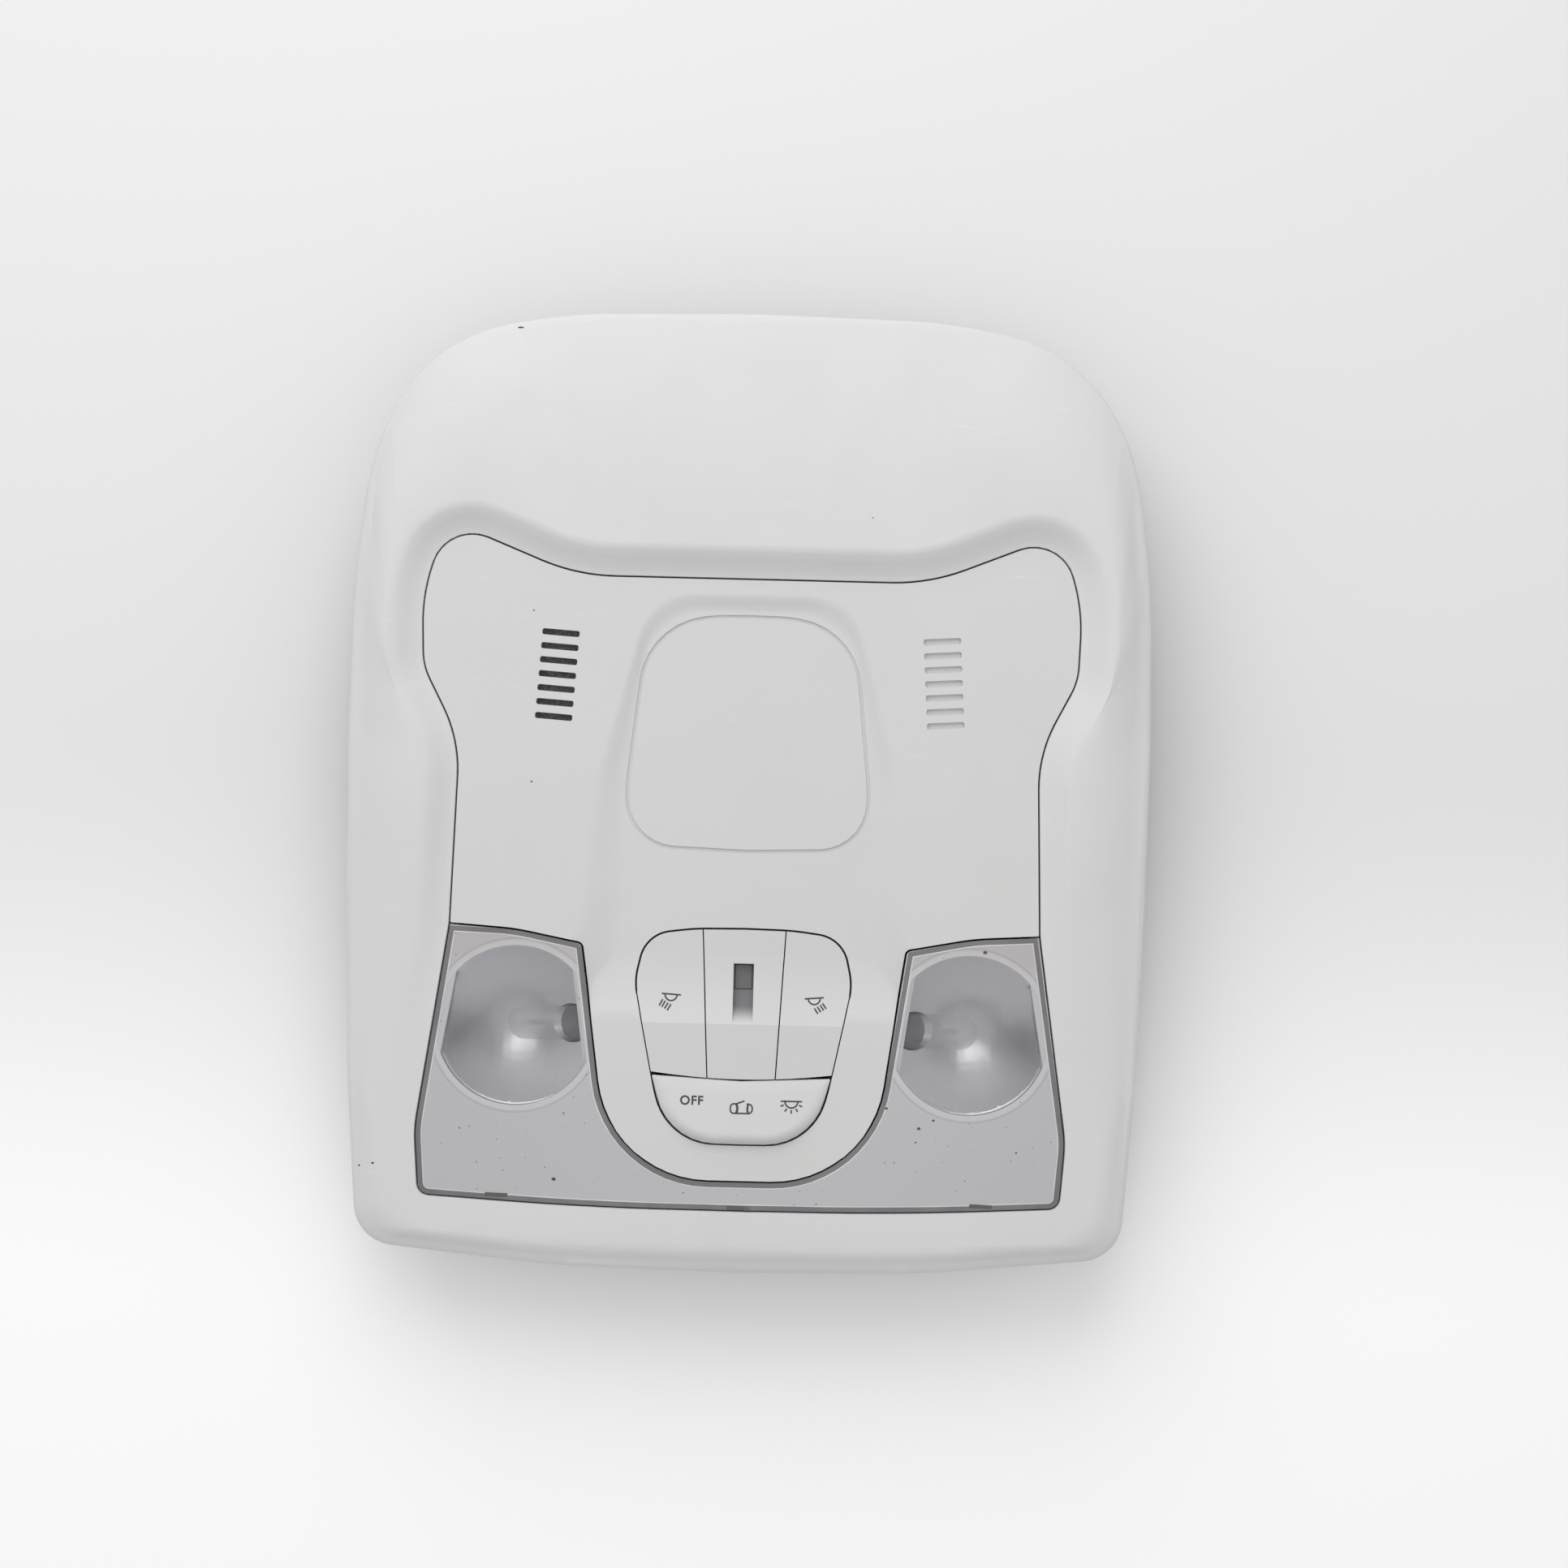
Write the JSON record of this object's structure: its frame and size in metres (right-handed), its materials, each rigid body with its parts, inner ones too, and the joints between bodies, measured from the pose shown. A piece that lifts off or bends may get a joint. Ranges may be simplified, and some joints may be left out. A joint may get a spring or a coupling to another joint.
{
  "type": "car interior light",
  "caption": "Wide grey overhead console with two round reading lamps and a courtesy light behind a smoky lens, lamp buttons, a rocker switch, a recessed panel and slotted grilles.",
  "frame": {"origin": "middle of the outline on the flat back of the rear cover, which is the lowest face", "axes": "+X to the right of the face as it is looked at, +Y towards the broad upper field, +Z out of the face; the part lies on its back"},
  "size_m": [0.201, 0.24, 0.0422],
  "materials": {
    "bezel_plastic": "light grey, fine moulded grain",
    "panel_plastic": "light grey, fine moulded grain",
    "smoky_lens": "milky grey translucent plastic, satin",
    "diffuser_film": "white translucent sheet",
    "reflector_metal": "vacuum metallised, smooth",
    "bulb_glass": "clear glass",
    "black_plastic": "black, satin",
    "contact_brass": "plain stamped brass",
    "board_green": "green solder mask",
    "component_grey": "moulded component cases",
    "cream_plastic": "cream, satin",
    "foam_grey": "open foam",
    "housing_plastic": "black, satin",
    "plain_steel": "zinc plated"
  },
  "bodies": {
    "console": {"outer_bezel": "bezel_plastic", "centre_panel": "panel_plastic", "lamp_lens": "smoky_lens", "light_diffuser": "diffuser_film", "left_reflector": "reflector_metal", "right_reflector": "reflector_metal", "left_reading_bulb": "bulb_glass", "right_reading_bulb": "bulb_glass", "left_bulb_holder": "black_plastic", "right_bulb_holder": "black_plastic", "courtesy_bulbs": "bulb_glass", "courtesy_contacts": "contact_brass", "switch_frame": "black_plastic", "centre_switch_cover": "panel_plastic", "switch_board": "board_green", "left_switch": "black_plastic", "right_switch": "black_plastic", "mode_switch": "black_plastic", "board_link_pins": "contact_brass", "ambient_light_window": "smoky_lens", "ambient_led": "cream_plastic", "microphone_foam": "foam_grey", "microphone_capsule": "plain_steel", "microphone_holder": "black_plastic", "lamp_housing": "housing_plastic", "rear_cover": "housing_plastic", "circuit_board": "board_green", "board_parts": "component_grey", "connector_header": "black_plastic", "connector_pins": "contact_brass", "housing_screws": "plain_steel", "panel_screws": "plain_steel", "cover_screws": "plain_steel", "spring_clips": "plain_steel", "locating_pins": "plain_steel"},
    "left_button": {"left_reading_button": "panel_plastic"},
    "right_button": {"right_reading_button": "panel_plastic"},
    "rocker": {"dome_rocker": "panel_plastic"},
    "left_switch_plunger": {"left_plunger": "cream_plastic"},
    "right_switch_plunger": {"right_plunger": "cream_plastic"},
    "slider": {"contact_slider": "cream_plastic"}
  },
  "joints": [
    {"name": "left_button_press", "type": "hinge", "parent": "console", "child": "left_button", "pos_m": [-0.017, -0.041, 0.0298], "axis": [1, 0, 0], "range_deg": [0, 1.8], "stiffness_Nm_per_rad": 1.2},
    {"name": "right_button_press", "type": "hinge", "parent": "console", "child": "right_button", "pos_m": [0.017, -0.041, 0.0298], "axis": [1, 0, 0], "range_deg": [0, 1.8], "stiffness_Nm_per_rad": 1.2},
    {"name": "rocker_tilt", "type": "hinge", "parent": "console", "child": "rocker", "pos_m": [0, -0.079, 0.033], "axis": [0, 1, 0], "range_deg": [-5, 5]},
    {"name": "left_plunger_travel", "type": "slide", "parent": "console", "child": "left_switch_plunger", "axis": [0, 0, -1], "range_m": [0, 0.0008]},
    {"name": "right_plunger_travel", "type": "slide", "parent": "console", "child": "right_switch_plunger", "axis": [0, 0, -1], "range_m": [0, 0.0008]},
    {"name": "slider_travel", "type": "slide", "parent": "console", "child": "slider", "axis": [1, 0, 0], "range_m": [-0.0006, 0.0006]}
  ],
  "couplings": [
    {"joint": "left_plunger_travel", "follows": "left_button_press", "m_per_rad": 0.021},
    {"joint": "right_plunger_travel", "follows": "right_button_press", "m_per_rad": 0.021},
    {"joint": "slider_travel", "follows": "rocker_tilt", "m_per_rad": -0.0053}
  ]
}
